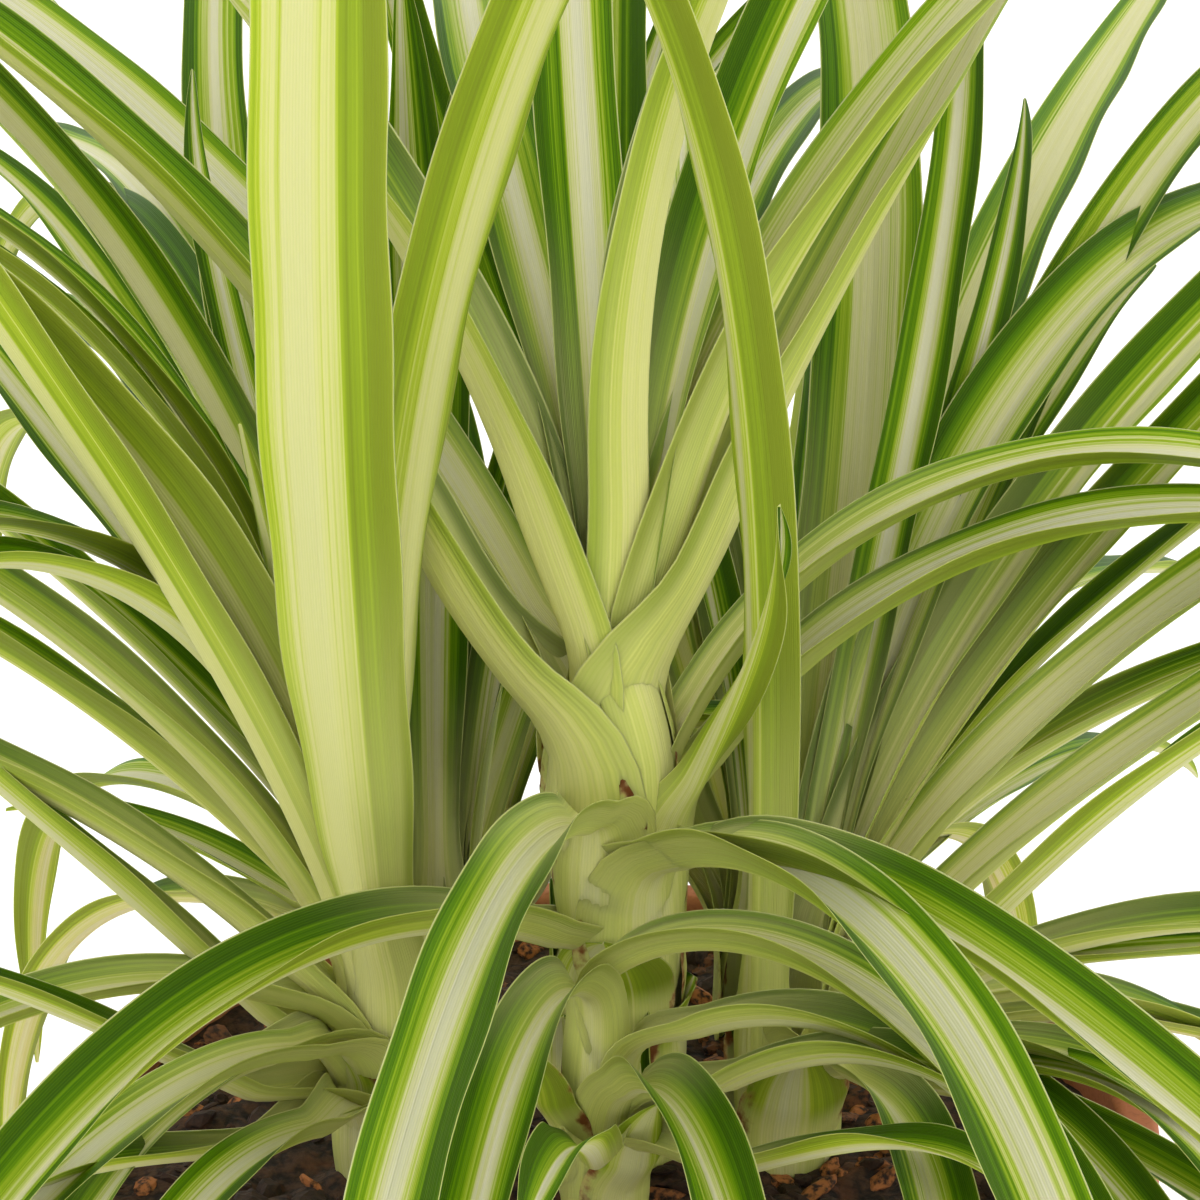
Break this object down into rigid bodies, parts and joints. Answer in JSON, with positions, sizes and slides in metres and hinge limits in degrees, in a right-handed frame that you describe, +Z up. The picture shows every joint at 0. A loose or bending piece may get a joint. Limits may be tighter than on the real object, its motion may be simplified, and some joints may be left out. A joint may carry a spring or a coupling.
{
  "type": "potted spider plant",
  "caption": "Variegated spider plant with clustered crowns of long folded strap leaves, arching over the rim of a plain round terracotta pot of bark soil.",
  "frame": {"origin": "centre of the pot's foot, on the surface that the pot stands on", "axes": "+Z up through the pot's axis, -Y towards the front of the plant, +X to its right"},
  "size_m": [0.6942, 0.7108, 0.5835],
  "materials": {
    "pot": "unglazed terracotta, matt",
    "soil": "bark and coir potting mix",
    "leaf": "living leaf with cream centre, lime stripes and green margins"
  },
  "bodies": {
    "root": {"pot": "pot", "soil": "soil", "crown_centre": "leaf", "crown_left": "leaf", "crown_right": "leaf", "crown_front": "leaf", "crown_back_right": "leaf", "crown_back_left": "leaf"}
  },
  "joints": []
}
